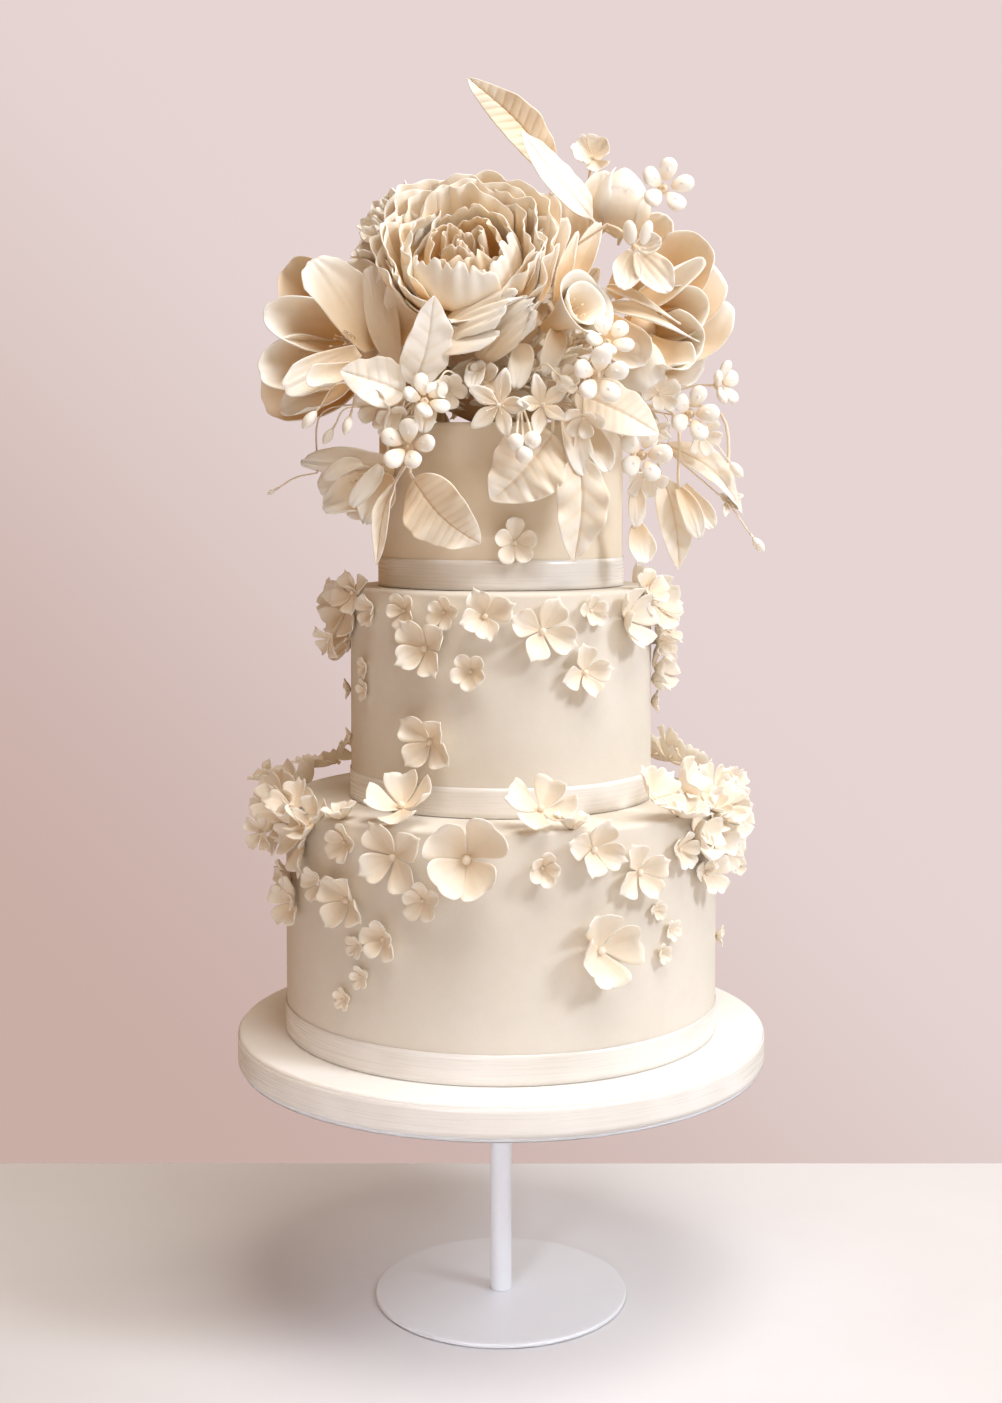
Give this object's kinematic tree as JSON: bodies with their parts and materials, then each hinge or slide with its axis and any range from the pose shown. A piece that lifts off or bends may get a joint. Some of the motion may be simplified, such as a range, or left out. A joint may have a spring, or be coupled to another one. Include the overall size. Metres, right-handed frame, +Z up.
{
  "type": "tiered wedding cake",
  "caption": "Tall round wedding cake in smooth ivory icing, with satin ribbon round each tier, scattered sugar blossoms and a large sugar-flower posy on top, on a pedestal stand.",
  "frame": {"origin": "centre of the underside of the stand's foot, on the table", "axes": "+Z up; -Y is the front that the picture shows; +X is the viewer's right from the front"},
  "size_m": [0.3522, 0.3522, 0.8159],
  "materials": {
    "painted_steel": "satin white powder coat",
    "sugar_icing": "matte ivory sugar paste",
    "satin_ribbon": "ivory double-faced satin",
    "flower_paste": "matte, slightly translucent sugar flower paste"
  },
  "bodies": {
    "root": {"stand_foot": "painted_steel", "stand_post": "painted_steel", "stand_plate": "painted_steel", "drum": "sugar_icing", "tier_bottom": "sugar_icing", "tier_middle": "sugar_icing", "tier_top": "sugar_icing", "ribbon_drum": "satin_ribbon", "ribbon_bottom": "satin_ribbon", "ribbon_middle": "satin_ribbon", "ribbon_top": "satin_ribbon", "blossom_bottom_01": "flower_paste", "blossom_bottom_02": "flower_paste", "blossom_bottom_03": "flower_paste", "blossom_bottom_04": "flower_paste", "blossom_bottom_05": "flower_paste", "blossom_bottom_06": "flower_paste", "blossom_bottom_07": "flower_paste", "blossom_bottom_08": "flower_paste", "blossom_bottom_09": "flower_paste", "blossom_bottom_10": "flower_paste", "blossom_bottom_11": "flower_paste", "blossom_middle_01": "flower_paste", "blossom_middle_02": "flower_paste", "blossom_middle_03": "flower_paste", "blossom_middle_04": "flower_paste", "blossom_middle_05": "flower_paste", "blossom_middle_06": "flower_paste", "blossom_top": "flower_paste", "cluster_bottom_left": "flower_paste", "cluster_bottom_left_back": "flower_paste", "cluster_bottom_right": "flower_paste", "cluster_bottom_right_back": "flower_paste", "cluster_bottom_back": "flower_paste", "cluster_middle_left": "flower_paste", "cluster_middle_right": "flower_paste", "cluster_middle_back": "flower_paste", "posy_filler": "flower_paste", "peony": "flower_paste", "magnolia": "flower_paste", "rose": "flower_paste", "carnation": "flower_paste", "back_rose": "flower_paste", "back_peony": "flower_paste", "lily": "flower_paste", "leaf_tall_veined": "flower_paste", "leaf_tall_smooth": "flower_paste", "leaf_hanging_left": "flower_paste", "leaf_hanging_centre": "flower_paste", "leaf_hanging_right": "flower_paste", "leaves_low_right": "flower_paste", "sprig_left": "flower_paste", "sprig_centre": "flower_paste", "sprig_right": "flower_paste", "sprig_top": "flower_paste", "sprig_ivy": "flower_paste", "sprig_low_right": "flower_paste", "sprig_far_right": "flower_paste"}
  },
  "joints": []
}
